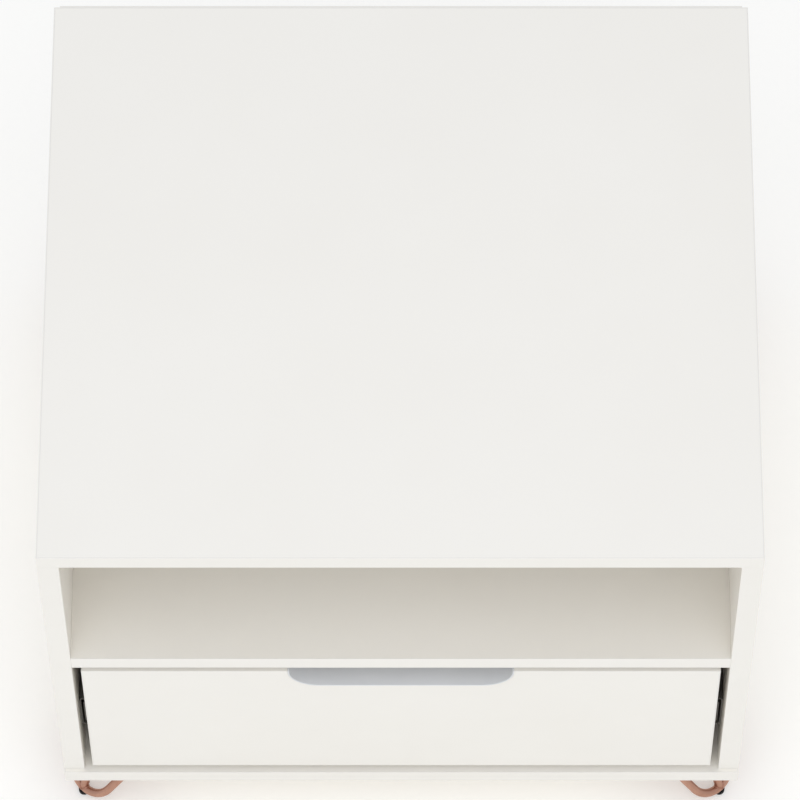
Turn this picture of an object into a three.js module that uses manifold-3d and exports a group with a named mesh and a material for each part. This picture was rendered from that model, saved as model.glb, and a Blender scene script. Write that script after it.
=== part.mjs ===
// A low white cabinet on four copper hairpin feet: an open cubby above one inset drawer,
// which runs on full-extension ball slides and opens by a finger cut-out in its front.
// Millimetres. +X is right, +Y is back and +Z is up. The origin is on the floor, under the
// middle of the footprint. Left and right are as seen from the front.
import * as THREE from "three";
import { mergeVertices } from "three/addons/utils/BufferGeometryUtils.js";
import Module from "manifold-3d";

const wasm = await Module();
wasm.setup();

// Carcass
const WIDTH = 500;
const DEPTH = 440; // of the sides, top and shelf
const BOX_HEIGHT = 377; // underside of the bottom panel to the top face
const FOOT_HEIGHT = 45;
const BOARD = 15;
const BOTTOM_LIP = 3; // the bottom panel stands this far in front of the sides
const CUBBY_HEIGHT = 151;
const BACK_BOARD = 3;
const BACK_SIDE_INSET = 4;
const BACK_TOP_INSET = 2.8;

// Drawer
const FRONT_GAP = 6.3; // all round the drawer front
const CUTOUT_WIDTH = 160;
const CUTOUT_DEPTH = 24;
const CUTOUT_RADIUS = 22;
const EDGE_BAND = 1;
const GLUE_LINE = 0.1;
const DRAWER_BOARD = 12;
const DRAWER_LENGTH = 400;
const DRAWER_SIDE_HEIGHT = 120;
const DRAWER_LIFT = 12; // lower edge of the drawer sides above the bottom panel
const DRAWER_BOTTOM = 3;
const GROOVE_DEPTH = 6;
const GROOVE_LIFT = 10; // groove above the lower edge of the drawer sides
const GROOVE_PLAY = 0.3;

// Ball slides. Across the slide, distances are from the carcass wall towards the drawer.
const SLIDE_SPACE = 12.7;
const SLIDE_LENGTH = 400;
const SLIDE_SETBACK = 2; // front ends of the members behind the drawer front's rear face
const SLIDE_HEIGHT = 45;
const SLIDE_LIFT = 55; // centre line above the lower edge of the drawer sides
const CAGE_LENGTH = 120;
const BALLS_PER_ROW = 5;
const BALL_SPACING = 24;

// Hairpin feet. Each is symmetric about the diagonal of its corner.
const ROD_RADIUS = 3.175;
const BEND_INSET = 11.4; // lowest point of the bend from both edges of the bottom panel
const BEND_LIFT = 7; // rod centre line above the floor at the bend
const BEND_RADIUS = 19;
const ARM_SPLAY = THREE.MathUtils.degToRad(14); // each arm from the hairpin's own axis
const HAIRPIN_LEAN = THREE.MathUtils.degToRad(38); // inwards from the vertical
const BRACE_LEAN = THREE.MathUtils.degToRad(18);
const PLATE = 3;
const PLATE_INSET = 5;
const PLATE_REACH = 70; // far edge of the plate from the corner
const PLATE_TAB = 15; // width of the plate's two ends
const PLATE_CORNER = 4;
const GLIDE_RADIUS = 4;
const GLIDE_HEIGHT = 5;
const CUT_GAP = 0.3; // between pieces whose curved faces meet

// Fasteners
const HOLE_PLAY = 0.2;
const SCREW_INSETS = [
  [62, 13.5],
  [13.5, 62],
  [36, 36],
]; // plate screws from the two edges of the corner
const BOTTOM_SCREW_Y = 120;
const CAM_Y = 150;
const CAM_RADIUS = 7.5;
const CAM_DEPTH = 12.5;
const CAM_DROP = 34; // centre of the cam below the top panel
const CAM_BOLT_RADIUS = 3;
const CAM_BOLT_BITE = 11; // into the top panel

// Positions that follow
const SIDE_X = WIDTH / 2;
const INNER_X = SIDE_X - BOARD;
const FRONT_Y = -DEPTH / 2;
const REAR_Y = DEPTH / 2;
const UNDERSIDE_Z = FOOT_HEIGHT;
const FLOOR_Z = UNDERSIDE_Z + BOARD;
const TOP_Z = UNDERSIDE_Z + BOX_HEIGHT;
const UNDER_TOP_Z = TOP_Z - BOARD;
const SHELF_TOP_Z = UNDER_TOP_Z - CUBBY_HEIGHT;
const SHELF_Z = SHELF_TOP_Z - BOARD;
const DRAWER_Y = FRONT_Y + BOARD; // rear face of the drawer front
const DRAWER_REAR_Y = DRAWER_Y + DRAWER_LENGTH;
const DRAWER_X = INNER_X - SLIDE_SPACE;
const DRAWER_Z = FLOOR_Z + DRAWER_LIFT;
const GROOVE_Z = DRAWER_Z + GROOVE_LIFT;
const SLIDE_Z = DRAWER_Z + SLIDE_LIFT;
const SLIDE_Y = DRAWER_Y + SLIDE_SETBACK;
const PLATE_Z = FOOT_HEIGHT - PLATE;

const material = (color, roughness, metalness = 0) =>
  new THREE.MeshStandardMaterial({ color, roughness, metalness });
const white = material(0xefede8, 0.45);
const greyBand = material(0xc6c8c8, 0.4);
const drawerWhite = material(0xe6e4df, 0.5);
const copper = material(0xb98673, 0.35, 0.9);
const zinc = material(0xb9bcc0, 0.35, 0.9);
const slideSteel = material(0x3d3b38, 0.45, 0.5);
const black = material(0x141312, 0.6);

const toSolid = (geometry) => {
  const bare = geometry.index ? geometry.toNonIndexed() : geometry.clone();
  bare.deleteAttribute("normal");
  bare.deleteAttribute("uv");
  const merged = mergeVertices(bare, 1e-4);
  return new wasm.Manifold(
    new wasm.Mesh({
      numProp: 3,
      vertProperties: merged.attributes.position.array,
      triVerts: new Uint32Array(merged.index.array),
    }),
  );
};

const toGeometry = (solid) => {
  const { vertProperties, triVerts } = solid.getMesh();
  const geometry = new THREE.BufferGeometry();
  geometry.setAttribute("position", new THREE.BufferAttribute(vertProperties, 3));
  geometry.setIndex(new THREE.BufferAttribute(triVerts, 1));
  const faceted = geometry.toNonIndexed();
  faceted.computeVertexNormals();
  return faceted;
};

const carve = (geometry, tools) =>
  toGeometry(tools.reduce((solid, tool) => solid.subtract(toSolid(tool)), toSolid(geometry)));

const join = (geometries) =>
  toGeometry(geometries.map(toSolid).reduce((all, next) => all.add(next)));

const board = ([x0, x1], [y0, y1], [z0, z1]) =>
  new THREE.BoxGeometry(x1 - x0, y1 - y0, z1 - z0).translate(
    (x0 + x1) / 2,
    (y0 + y1) / 2,
    (z0 + z1) / 2,
  );

const extruded = (shape, depth, curveSegments) =>
  new THREE.ExtrudeGeometry(shape, { depth, curveSegments, bevelEnabled: false });

// A shape drawn in x and z, extruded along y.
const frontToBack = (shape, y0, y1) =>
  extruded(shape, y1 - y0, 8).rotateX(Math.PI / 2).translate(0, y1, 0);

const polygon = (points) => new THREE.Shape(points.map(([x, y]) => new THREE.Vector2(x, y)));

// A profile of [radius, height] pairs, turned about z.
const turned = (profile, sides) =>
  new THREE.LatheGeometry(
    profile.map(([r, h]) => new THREE.Vector2(r, h)),
    sides,
  ).rotateX(Math.PI / 2);

const rod = (path, radius, sides, steps) => {
  const section = new THREE.Shape(
    Array.from({ length: sides }, (_, i) => {
      const angle = (i * 2 * Math.PI) / sides;
      return new THREE.Vector2(radius * Math.cos(angle), radius * Math.sin(angle));
    }),
  );
  return new THREE.ExtrudeGeometry(section, { steps, extrudePath: path, bevelEnabled: false });
};

// The same profile a little wider and deeper, as the hole that it fills.
const hole = (profile, sides) => {
  const last = profile.length - 1;
  return turned(
    profile.map(([r, h], i) => [r && r + HOLE_PLAY, i === last ? h + HOLE_PLAY : h]),
    sides,
  );
};

const root = new THREE.Group();

const add = (parent, name, geometry, finish, position = [0, 0, 0]) => {
  const mesh = new THREE.Mesh(geometry, finish);
  mesh.name = name;
  mesh.position.set(...position);
  parent.add(mesh);
};

// Screws, each with its point up and its head's bearing face at height 0

const SCREW_SIDES = 10;
const PLATE_SCREW = [
  [0, -2.3],
  [2.4, -2.3],
  [3.9, -1.1],
  [3.9, 0],
  [1.9, 0],
  [1.9, 11],
  [0, 13.5],
];
const PLATE_SCREW_SHANK = [[0, 0], ...PLATE_SCREW.slice(4)];
const BOTTOM_SCREW = [
  [0, 0],
  [4.8, 0],
  [4.8, 1],
  [3.4, 3.5],
  [3.4, 12],
  [2.6, 13],
  [2.6, 47],
  [0, 50],
];
const bottomScrewPlaces = [-1, 1].flatMap((x) =>
  [-1, 1].map((y) => [x * (SIDE_X - BOARD / 2), y * BOTTOM_SCREW_Y, UNDERSIDE_Z]),
);

// Cam lock in the inner face of a side, gripping the bolt that stands in the top panel,
// as one piece. It is made for the left side, at y = 0.
const CAM_SIDES = 20;
const CAM_Z = UNDER_TOP_Z - CAM_DROP;

const acrossLeftSide = (radius, depth, z) =>
  new THREE.CylinderGeometry(radius, radius, depth, CAM_SIDES)
    .rotateZ(Math.PI / 2)
    .translate(-INNER_X - depth / 2, 0, z);

const camBolt = (radius, bite) =>
  turned(
    [
      [0, CAM_Z],
      [radius, CAM_Z],
      [radius, UNDER_TOP_Z + bite],
      [0, UNDER_TOP_Z + bite],
    ],
    SCREW_SIDES,
  ).translate(-SIDE_X + BOARD / 2, 0, 0);

const camFitting = () =>
  join([acrossLeftSide(CAM_RADIUS, CAM_DEPTH, CAM_Z), camBolt(CAM_BOLT_RADIUS, CAM_BOLT_BITE)]);

const camHole = () =>
  join([
    acrossLeftSide(CAM_RADIUS + HOLE_PLAY, CAM_DEPTH + HOLE_PLAY, CAM_Z),
    camBolt(CAM_BOLT_RADIUS + HOLE_PLAY, CAM_BOLT_BITE + HOLE_PLAY),
  ]);

// Feet, in a corner's own frame: x and y run inwards from the two edges of the bottom panel

const diagonal = (along, height) =>
  new THREE.Vector3(
    BEND_INSET + along * Math.SQRT1_2,
    BEND_INSET + along * Math.SQRT1_2,
    BEND_LIFT + height,
  );

// Half of a hairpin: a straight arm and half of the bend, mirrored for the other half.
class HairpinCurve extends THREE.Curve {
  constructor(rise) {
    super();
    this.bendAngle = Math.PI / 2 - ARM_SPLAY;
    this.halfBend = BEND_RADIUS * this.bendAngle;
    const bendRise = BEND_RADIUS * (1 - Math.cos(this.bendAngle));
    this.half = this.halfBend + (rise - bendRise) / Math.cos(ARM_SPLAY);
  }

  getPoint(t, target = new THREE.Vector3()) {
    const along = (2 * t - 1) * this.half;
    const run = Math.abs(along);
    const angle = Math.min(run, this.halfBend) / BEND_RADIUS;
    const arm = Math.max(run - this.halfBend, 0);
    const across = BEND_RADIUS * Math.sin(angle) + arm * Math.sin(ARM_SPLAY);
    const up = BEND_RADIUS * (1 - Math.cos(angle)) + arm * Math.cos(ARM_SPLAY);
    const side = Math.sign(along) * across * Math.SQRT1_2;
    target.copy(diagonal(up * Math.sin(HAIRPIN_LEAN), up * Math.cos(HAIRPIN_LEAN)));
    return target.add(new THREE.Vector3(side, -side, 0));
  }
}

const ROD_SIDES = 10;
const HAIRPIN_STEPS = 28;
const FOOT_RISE = PLATE_Z - BEND_LIFT;
const OVERRUN = 6; // rod ends before they are trimmed flush under the plate

const hairpin = (radius) =>
  rod(
    new HairpinCurve((FOOT_RISE + OVERRUN) / Math.cos(HAIRPIN_LEAN)),
    radius,
    ROD_SIDES,
    HAIRPIN_STEPS,
  );

const brace = () => {
  const top = FOOT_RISE + OVERRUN;
  const line = new THREE.LineCurve3(diagonal(0, 0), diagonal(top * Math.tan(BRACE_LEAN), top));
  return rod(line, ROD_RADIUS, ROD_SIDES, 1);
};

const abovePlate = () => {
  const span = [-PLATE_REACH, 2 * PLATE_REACH];
  return board(span, span, [PLATE_Z, 2 * FOOT_HEIGHT]);
};

// A polygon with rounded corners.
const rounded = (points, radius) => {
  const corners = points.map(([x, y]) => new THREE.Vector2(x, y));
  const shape = new THREE.Shape();
  corners.forEach((corner, i) => {
    const before = corners.at(i - 1).clone().sub(corner).setLength(radius).add(corner);
    const after = corners[(i + 1) % corners.length].clone().sub(corner).setLength(radius).add(corner);
    if (i === 0) shape.moveTo(before.x, before.y);
    else shape.lineTo(before.x, before.y);
    shape.quadraticCurveTo(corner.x, corner.y, after.x, after.y);
  });
  return shape;
};

const plate = () => {
  const near = PLATE_INSET;
  const far = PLATE_REACH;
  const tab = PLATE_INSET + PLATE_TAB;
  const ends = [[near, near], [far, near], [far, tab], [tab, far], [near, far]];
  const slab = extruded(rounded(ends, PLATE_CORNER), PLATE, 4).translate(0, 0, PLATE_Z);
  const shank = hole(PLATE_SCREW_SHANK, SCREW_SIDES);
  return carve(
    slab,
    SCREW_INSETS.map(([x, y]) => shank.clone().translate(x, y, PLATE_Z)),
  );
};

const glide = () => {
  const puck = turned(
    [
      [0, 0],
      [GLIDE_RADIUS - 0.6, 0],
      [GLIDE_RADIUS, 0.6],
      [GLIDE_RADIUS, GLIDE_HEIGHT],
      [0, GLIDE_HEIGHT],
    ],
    16,
  ).translate(BEND_INSET, BEND_INSET, 0);
  return carve(puck, [hairpin(ROD_RADIUS + CUT_GAP)]);
};

const footPieces = {
  foot_plate: [plate(), copper],
  hairpin_rod: [carve(hairpin(ROD_RADIUS), [abovePlate()]), copper],
  brace_rod: [carve(brace(), [hairpin(ROD_RADIUS + CUT_GAP), abovePlate()]), copper],
  glide: [glide(), black],
};
const plateScrew = turned(PLATE_SCREW, SCREW_SIDES);

const corners = [
  ["front_left", -SIDE_X, FRONT_Y - BOTTOM_LIP, 1, 1],
  ["front_right", SIDE_X, FRONT_Y - BOTTOM_LIP, -1, 1],
  ["rear_left", -SIDE_X, REAR_Y, 1, -1],
  ["rear_right", SIDE_X, REAR_Y, -1, -1],
];
for (const [corner, x, y, mirrorX, mirrorY] of corners) {
  const foot = new THREE.Group();
  foot.position.set(x, y, 0);
  foot.scale.set(mirrorX, mirrorY, 1);
  root.add(foot);
  for (const [piece, [geometry, finish]] of Object.entries(footPieces)) {
    add(foot, `${corner}_${piece}`, geometry, finish);
  }
  SCREW_INSETS.forEach((place, i) => {
    add(foot, `${corner}_foot_screw_${i + 1}`, plateScrew, zinc, [...place, PLATE_Z]);
  });
}

// Carcass panels

const bottomHoles = [
  ...corners.flatMap(([, x, y, mirrorX, mirrorY]) =>
    SCREW_INSETS.map(([dx, dy]) =>
      hole(PLATE_SCREW_SHANK, SCREW_SIDES).translate(x + mirrorX * dx, y + mirrorY * dy, PLATE_Z),
    ),
  ),
  ...bottomScrewPlaces.map((place) => hole(BOTTOM_SCREW, SCREW_SIDES).translate(...place)),
];
add(
  root,
  "bottom_panel",
  carve(
    board([-SIDE_X, SIDE_X], [FRONT_Y - BOTTOM_LIP, REAR_Y], [UNDERSIDE_Z, FLOOR_Z]),
    bottomHoles,
  ),
  white,
);
bottomScrewPlaces.forEach((place, i) => {
  const name = `bottom_screw_${["front_left", "rear_left", "front_right", "rear_right"][i]}`;
  add(root, name, turned(BOTTOM_SCREW, SCREW_SIDES), zinc, place);
});

const camHoles = (mirror) =>
  [-CAM_Y, CAM_Y].map((y) => {
    const tool = camHole().translate(0, y, 0);
    return mirror < 0 ? tool.rotateZ(Math.PI) : tool;
  });
add(
  root,
  "top_panel",
  carve(board([-SIDE_X, SIDE_X], [FRONT_Y, REAR_Y], [UNDER_TOP_Z, TOP_Z]), [
    ...camHoles(1),
    ...camHoles(-1),
  ]),
  white,
);
add(root, "shelf", board([-INNER_X, INNER_X], [FRONT_Y, REAR_Y], [SHELF_Z, SHELF_TOP_Z]), white);
add(
  root,
  "back_panel",
  board(
    [-SIDE_X + BACK_SIDE_INSET, SIDE_X - BACK_SIDE_INSET],
    [REAR_Y, REAR_Y + BACK_BOARD],
    [UNDERSIDE_Z + BACK_SIDE_INSET, TOP_Z - BACK_TOP_INSET],
  ),
  white,
);

// Drawer front, with its finger cut-out and the grey band glued round the cut-out's rim

const FRONT_X = INNER_X - FRONT_GAP;
const FRONT_LOW_Z = FLOOR_Z + FRONT_GAP;
const FRONT_TOP_Z = SHELF_Z - FRONT_GAP;
const CUTOUT_TURN_Z = FRONT_TOP_Z - CUTOUT_DEPTH + CUTOUT_RADIUS;
const CUTOUT_TURN_X = CUTOUT_WIDTH / 2 - CUTOUT_RADIUS;

// Adds the cut-out's outline to a shape, from left to right or back, at a distance outside it.
const traceCutout = (shape, outside, rightwards) => {
  const radius = CUTOUT_RADIUS + outside;
  const turn = rightwards ? -1 : 1;
  const low = 1.5 * Math.PI;
  const [first, last] = rightwards ? [Math.PI, 2 * Math.PI] : [2 * Math.PI, Math.PI];
  shape.lineTo(turn * (CUTOUT_TURN_X + radius), FRONT_TOP_Z);
  shape.absarc(turn * CUTOUT_TURN_X, CUTOUT_TURN_Z, radius, first, low, !rightwards);
  shape.absarc(-turn * CUTOUT_TURN_X, CUTOUT_TURN_Z, radius, low, last, !rightwards);
  shape.lineTo(-turn * (CUTOUT_TURN_X + radius), FRONT_TOP_Z);
};

const frontShape = new THREE.Shape();
frontShape.moveTo(-FRONT_X, FRONT_LOW_Z);
frontShape.lineTo(FRONT_X, FRONT_LOW_Z);
frontShape.lineTo(FRONT_X, FRONT_TOP_Z);
traceCutout(frontShape, EDGE_BAND + GLUE_LINE, false);
frontShape.lineTo(-FRONT_X, FRONT_TOP_Z);

const grooveX = DRAWER_X - DRAWER_BOARD + GROOVE_DEPTH;
const frontGroove = board(
  [-grooveX, grooveX],
  [DRAWER_Y - GROOVE_DEPTH, DRAWER_Y + 1],
  [GROOVE_Z, GROOVE_Z + DRAWER_BOTTOM + GROOVE_PLAY],
);
add(root, "drawer_front", carve(frontToBack(frontShape, FRONT_Y, DRAWER_Y), [frontGroove]), white);

const bandShape = new THREE.Shape();
bandShape.moveTo(-CUTOUT_WIDTH / 2 - EDGE_BAND, FRONT_TOP_Z);
traceCutout(bandShape, EDGE_BAND, true);
traceCutout(bandShape, 0, false);
add(root, "handle_edge_band", frontToBack(bandShape, FRONT_Y, DRAWER_Y), greyBand);

// Drawer box: grooved sides, a back that stands on the bottom board, and the board

const drawerInnerX = DRAWER_X - DRAWER_BOARD;
const bottomBoardZ = GROOVE_Z + GROOVE_PLAY / 2;
const bottomBoardX = grooveX - GROOVE_PLAY;
add(
  root,
  "drawer_bottom",
  board(
    [-bottomBoardX, bottomBoardX],
    [DRAWER_Y - GROOVE_DEPTH + GROOVE_PLAY, DRAWER_REAR_Y],
    [bottomBoardZ, bottomBoardZ + DRAWER_BOTTOM],
  ),
  drawerWhite,
);
add(
  root,
  "drawer_back",
  board(
    [-drawerInnerX, drawerInnerX],
    [DRAWER_REAR_Y - DRAWER_BOARD, DRAWER_REAR_Y],
    [bottomBoardZ + DRAWER_BOTTOM, DRAWER_Z + DRAWER_SIDE_HEIGHT],
  ),
  drawerWhite,
);
const drawerSideShape = polygon([
  [-DRAWER_X, DRAWER_Z],
  [-drawerInnerX, DRAWER_Z],
  [-drawerInnerX, GROOVE_Z],
  [-grooveX, GROOVE_Z],
  [-grooveX, GROOVE_Z + DRAWER_BOTTOM + GROOVE_PLAY],
  [-drawerInnerX, GROOVE_Z + DRAWER_BOTTOM + GROOVE_PLAY],
  [-drawerInnerX, DRAWER_Z + DRAWER_SIDE_HEIGHT],
  [-DRAWER_X, DRAWER_Z + DRAWER_SIDE_HEIGHT],
]);

// Ball slides, for the left side. A channel is a web with two flanges towards larger
// distance, and an optional lip that turns each flange's edge inwards.

const channel = ({ web, reach, height, steel, lip = 0 }) => {
  const step = Math.sign(reach - web) * steel;
  const half = [
    [web, height / 2],
    [reach, height / 2],
    [reach, height / 2 - steel - lip],
    [reach - step, height / 2 - steel - lip],
    [reach - step, height / 2 - steel],
    [web + step, height / 2 - steel],
  ];
  const upper = lip ? half : [...half.slice(0, 2), [reach, height / 2 - steel], half[5]];
  const lower = upper.map(([c, z]) => [c, -z]).reverse();
  return polygon([...upper, ...lower].map(([c, z]) => [-INNER_X + c, SLIDE_Z + z]));
};

const CABINET_RAIL = { web: 0, reach: 11.2, height: SLIDE_HEIGHT, steel: 1.2, lip: 1 };
const MIDDLE_RAIL = { web: 2.8, reach: 10.8, height: 34, steel: 1.1 };
const DRAWER_RAIL = { web: SLIDE_SPACE, reach: 5.2, height: 23.8, steel: 1.1 };
const OUTER_CAGE = { web: 1.6, reach: 9.2, height: 38.9, steel: 0.6 };
const INNER_CAGE = { web: 4.2, reach: 10.6, height: 28.4, steel: 0.6 };
const OUTER_BALLS = { radius: 2, across: 6.2, height: 38.3 };
const INNER_BALLS = { radius: 1.85, across: 7.9, height: 27.8 };

const rail = (section) => frontToBack(channel(section), SLIDE_Y, SLIDE_Y + SLIDE_LENGTH);

const ballCage = (section, balls) => {
  const middleY = SLIDE_Y + SLIDE_LENGTH / 2;
  const strip = frontToBack(channel(section), middleY - CAGE_LENGTH / 2, middleY + CAGE_LENGTH / 2);
  const row = Array.from({ length: BALLS_PER_ROW }, (_, i) => i - (BALLS_PER_ROW - 1) / 2);
  const spheres = [-1, 1].flatMap((end) =>
    row.map((i) =>
      new THREE.SphereGeometry(balls.radius, 6, 4).translate(
        -INNER_X + balls.across,
        middleY + i * BALL_SPACING,
        SLIDE_Z + (end * balls.height) / 2,
      ),
    ),
  );
  return join([strip, ...spheres]);
};

// Pieces that the two sides share, mirrored on the right

const sidePanel = carve(
  board([-SIDE_X, -INNER_X], [FRONT_Y, REAR_Y], [FLOOR_Z, UNDER_TOP_Z]),
  [
    ...camHoles(1),
    ...[-BOTTOM_SCREW_Y, BOTTOM_SCREW_Y].map((y) =>
      hole(BOTTOM_SCREW, SCREW_SIDES).translate(-SIDE_X + BOARD / 2, y, UNDERSIDE_Z),
    ),
  ],
);
const sidePieces = {
  side_panel: [sidePanel, white],
  cabinet_rail: [rail(CABINET_RAIL), slideSteel],
  middle_rail: [rail(MIDDLE_RAIL), slideSteel],
  drawer_rail: [rail(DRAWER_RAIL), slideSteel],
  outer_ball_cage: [ballCage(OUTER_CAGE, OUTER_BALLS), slideSteel],
  inner_ball_cage: [ballCage(INNER_CAGE, INNER_BALLS), slideSteel],
  drawer_side: [frontToBack(drawerSideShape, DRAWER_Y, DRAWER_REAR_Y), drawerWhite],
};
const cam = camFitting();
for (const [side, mirror] of [["left", 1], ["right", -1]]) {
  const half = new THREE.Group();
  half.scale.x = mirror;
  root.add(half);
  for (const [piece, [geometry, finish]] of Object.entries(sidePieces)) {
    add(half, `${side}_${piece}`, geometry, finish);
  }
  add(half, `cam_lock_front_${side}`, cam, zinc, [0, -CAM_Y, 0]);
  add(half, `cam_lock_rear_${side}`, cam, zinc, [0, CAM_Y, 0]);
}

export default root;
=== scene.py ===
import math

import bmesh
import bpy
from mathutils import Matrix, Vector


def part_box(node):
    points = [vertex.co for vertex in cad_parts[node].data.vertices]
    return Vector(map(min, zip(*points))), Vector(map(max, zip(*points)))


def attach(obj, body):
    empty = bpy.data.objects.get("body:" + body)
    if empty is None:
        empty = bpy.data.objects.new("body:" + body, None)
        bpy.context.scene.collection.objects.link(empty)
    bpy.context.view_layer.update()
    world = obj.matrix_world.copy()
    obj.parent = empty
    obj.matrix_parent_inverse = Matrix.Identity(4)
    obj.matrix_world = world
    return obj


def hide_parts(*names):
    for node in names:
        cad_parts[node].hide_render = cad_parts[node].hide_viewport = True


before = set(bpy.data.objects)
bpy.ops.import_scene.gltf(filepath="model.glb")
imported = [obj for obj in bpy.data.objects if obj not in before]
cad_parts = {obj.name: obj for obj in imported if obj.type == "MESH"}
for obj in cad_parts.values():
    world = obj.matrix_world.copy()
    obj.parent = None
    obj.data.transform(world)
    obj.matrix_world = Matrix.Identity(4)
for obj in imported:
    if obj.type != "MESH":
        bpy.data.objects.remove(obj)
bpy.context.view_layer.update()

# A low white cabinet with a cubby and one drawer, on copper hairpin feet, in the CAD's frame:
# +X right, +Y back, +Z up, floor at z = 0. Meshes are made in millimetres, and piece() scales
# them to metres. Left and right are as seen from the front.

MM = 0.001
X, Y, Z = 0, 1, 2
LOW, HIGH = -1, 1

# Boards
BAND = 0.8  # thickness of the white edge band
BAND_ROUND = 0.3
BOARD_ROUND = 0.15
SEAM = 0.02  # between a band and its board
HANDLE_BAND = 1.0
HANDLE_SEAM = 0.1
CUTOUT_DEPTH = 24
CUTOUT_RADIUS = 22
ARC_STEPS = 24

# Feet, in a corner's own frame: x and y run inwards from the two edges of the bottom panel
ROD_RADIUS = 3.175
BEND_INSET = 11.4
BEND_LIFT = 7
BEND_RADIUS = 19
ARM_SPLAY = math.radians(14)
HAIRPIN_LEAN = math.radians(38)
BRACE_LEAN = math.radians(18)
ROD_SIDES = 32
BEND_STEPS = 64
WELD_RADIUS = 0.75
GLIDE_CLEARANCE = 0.1
PLATE_ROUND = 0.5

# Ball slides: distances from the carcass wall towards the drawer, for the left side
SLIDE_SPACE = 12.7
CABINET_RAIL = {"web": 0.0, "reach": 11.2, "height": 45.0, "steel": 1.2, "lip": 1.0}
MIDDLE_RAIL = {"web": 2.8, "reach": 10.8, "height": 34.0, "steel": 1.1, "lip": 0.0}
DRAWER_RAIL = {"web": 12.7, "reach": 5.2, "height": 23.8, "steel": 1.1, "lip": 0.0}
OUTER_CAGE = {"web": 1.6, "reach": 9.2, "height": 38.9, "steel": 0.6, "lip": 0.0}
INNER_CAGE = {"web": 4.2, "reach": 10.6, "height": 28.4, "steel": 0.6, "lip": 0.0}
OUTER_BALLS = {"radius": 2.0, "across": 6.2, "height": 38.3}
INNER_BALLS = {"radius": 1.85, "across": 7.9, "height": 27.8}
BALL_SPACING = 24
BALLS_PER_ROW = 5


# ---------------------------------------------------------------- places in the frame


def box_mm(node):
    """Lowest and highest corner of a CAD node, in millimetres."""
    low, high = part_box(node)
    return low / MM, high / MM


CARCASS_LOW, CARCASS_HIGH = box_mm("bottom_panel")
SHELF_LOW, SHELF_HIGH = box_mm("shelf")
INNER_X = SHELF_HIGH.x
PLATE_Z = box_mm("front_left_foot_plate")[0].z
CORNERS = {
    "front_left": (CARCASS_LOW.x, CARCASS_LOW.y, 1, 1),
    "front_right": (CARCASS_HIGH.x, CARCASS_LOW.y, -1, 1),
    "rear_left": (CARCASS_LOW.x, CARCASS_HIGH.y, 1, -1),
    "rear_right": (CARCASS_HIGH.x, CARCASS_HIGH.y, -1, -1),
}
SIDES = {"left": 1, "right": -1}


# ---------------------------------------------------------------- mesh tools


def from_node(name):
    """A CAD node's mesh in millimetres, with its split corners joined and flat faces whole."""
    mesh = bmesh.new()
    mesh.from_mesh(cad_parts[name].data)
    bmesh.ops.scale(mesh, vec=(1 / MM,) * 3, verts=mesh.verts)
    bmesh.ops.remove_doubles(mesh, verts=mesh.verts, dist=0.002)
    bmesh.ops.dissolve_limit(
        mesh, angle_limit=math.radians(0.5), verts=mesh.verts, edges=mesh.edges
    )
    return mesh


def block(low, high):
    """A box between two corners."""
    mesh = bmesh.new()
    size = Vector(high) - Vector(low)
    middle = (Vector(high) + Vector(low)) / 2
    bmesh.ops.create_cube(mesh, size=1)
    bmesh.ops.scale(mesh, vec=size, verts=mesh.verts)
    bmesh.ops.translate(mesh, vec=middle, verts=mesh.verts)
    return mesh


def prism(outline, start, end, axis=Y):
    """A closed outline extruded along an axis. Its points are in the other two axes' order."""
    mesh = bmesh.new()
    rings = []
    for along in (start, end):
        ring = []
        for point in outline:
            place = list(point)
            place.insert(axis, along)
            ring.append(mesh.verts.new(place))
        rings.append(ring)
    mesh.faces.new(rings[0])
    mesh.faces.new(rings[1])
    bridge(mesh, *rings)
    bmesh.ops.recalc_face_normals(mesh, faces=mesh.faces)
    return mesh


def bridge(mesh, low, high):
    """Faces between two closed rings of vertices, either of which may be a single point."""
    count = max(len(low), len(high))
    for i in range(count):
        j = (i + 1) % count
        corners = [low[i % len(low)], low[j % len(low)], high[j % len(high)], high[i % len(high)]]
        mesh.faces.new(list(dict.fromkeys(corners)))


def turned(profile, sides=32):
    """A profile of (radius, height) pairs turned about z."""
    mesh = bmesh.new()
    rings = []
    for radius, height in profile:
        count = sides if radius else 1
        turn = 2 * math.pi / count
        rings.append([
            mesh.verts.new((radius * math.cos(i * turn), radius * math.sin(i * turn), height))
            for i in range(count)
        ])
    for low, high in zip(rings, rings[1:]):
        bridge(mesh, low, high)
    for ring in (rings[0], rings[-1]):
        if len(ring) > 1:
            mesh.faces.new(ring)
    bmesh.ops.recalc_face_normals(mesh, faces=mesh.faces)
    return mesh


def tube_rings(points, radii, normal, sides, closed):
    """The rings of a tube along points. Normal is any direction that the tube never runs in."""
    last = len(points) - 1
    rings = []
    for i, point in enumerate(points):
        before = points[i - 1] if i or closed else point
        after = points[(i + 1) % len(points)] if i < last or closed else point
        along = (after - before).normalized()
        u = along.cross(normal).normalized()
        v = along.cross(u)
        turn = 2 * math.pi / sides
        rings.append([
            point + radii[i] * (math.cos(k * turn) * u + math.sin(k * turn) * v)
            for k in range(sides)
        ])
    return rings


def skin(rings, closed=False):
    """A closed surface over rings of points."""
    mesh = bmesh.new()
    made = [[mesh.verts.new(point) for point in ring] for ring in rings]
    pairs = list(zip(made, made[1:]))
    if closed:
        pairs.append((made[-1], made[0]))
    for low, high in pairs:
        bridge(mesh, low, high)
    if not closed:
        mesh.faces.new(made[0])
        mesh.faces.new(made[-1])
    bmesh.ops.recalc_face_normals(mesh, faces=mesh.faces)
    return mesh


def tube(points, radii, normal, sides, closed=False):
    """A round tube along points."""
    return skin(tube_rings(points, radii, normal, sides, closed), closed)


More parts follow.
